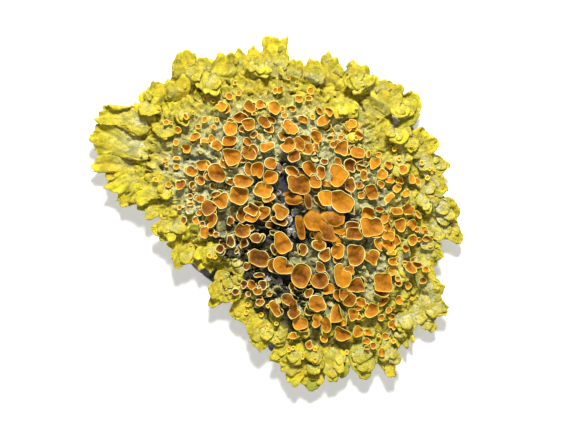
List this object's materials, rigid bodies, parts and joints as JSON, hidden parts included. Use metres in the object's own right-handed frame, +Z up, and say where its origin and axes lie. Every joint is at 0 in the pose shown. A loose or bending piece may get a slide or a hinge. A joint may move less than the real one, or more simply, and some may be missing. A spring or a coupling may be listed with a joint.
{
  "type": "foliose lichen rosette",
  "caption": "Flat, lobed rosette of common orange lichen with cup-shaped fruiting discs, lying on the thin flake of bark it grew on.",
  "frame": {"origin": "centre of the bounding box, on the flat underside of the bark flake", "axes": "+Z up, away from the bark; +X along the rosette's longest extent; +Y across it, towards the top of the rosette as seen from above"},
  "size_m": [0.0637, 0.0602, 0.006],
  "materials": {
    "thallus": "matte, leathery skin, yellow at the edge, grey-green inwards, with orange discs",
    "bark": "rough, pale grey outer bark with dark specks"
  },
  "bodies": {
    "root": {"thallus": "thallus", "bark_flake": "bark"}
  },
  "joints": []
}
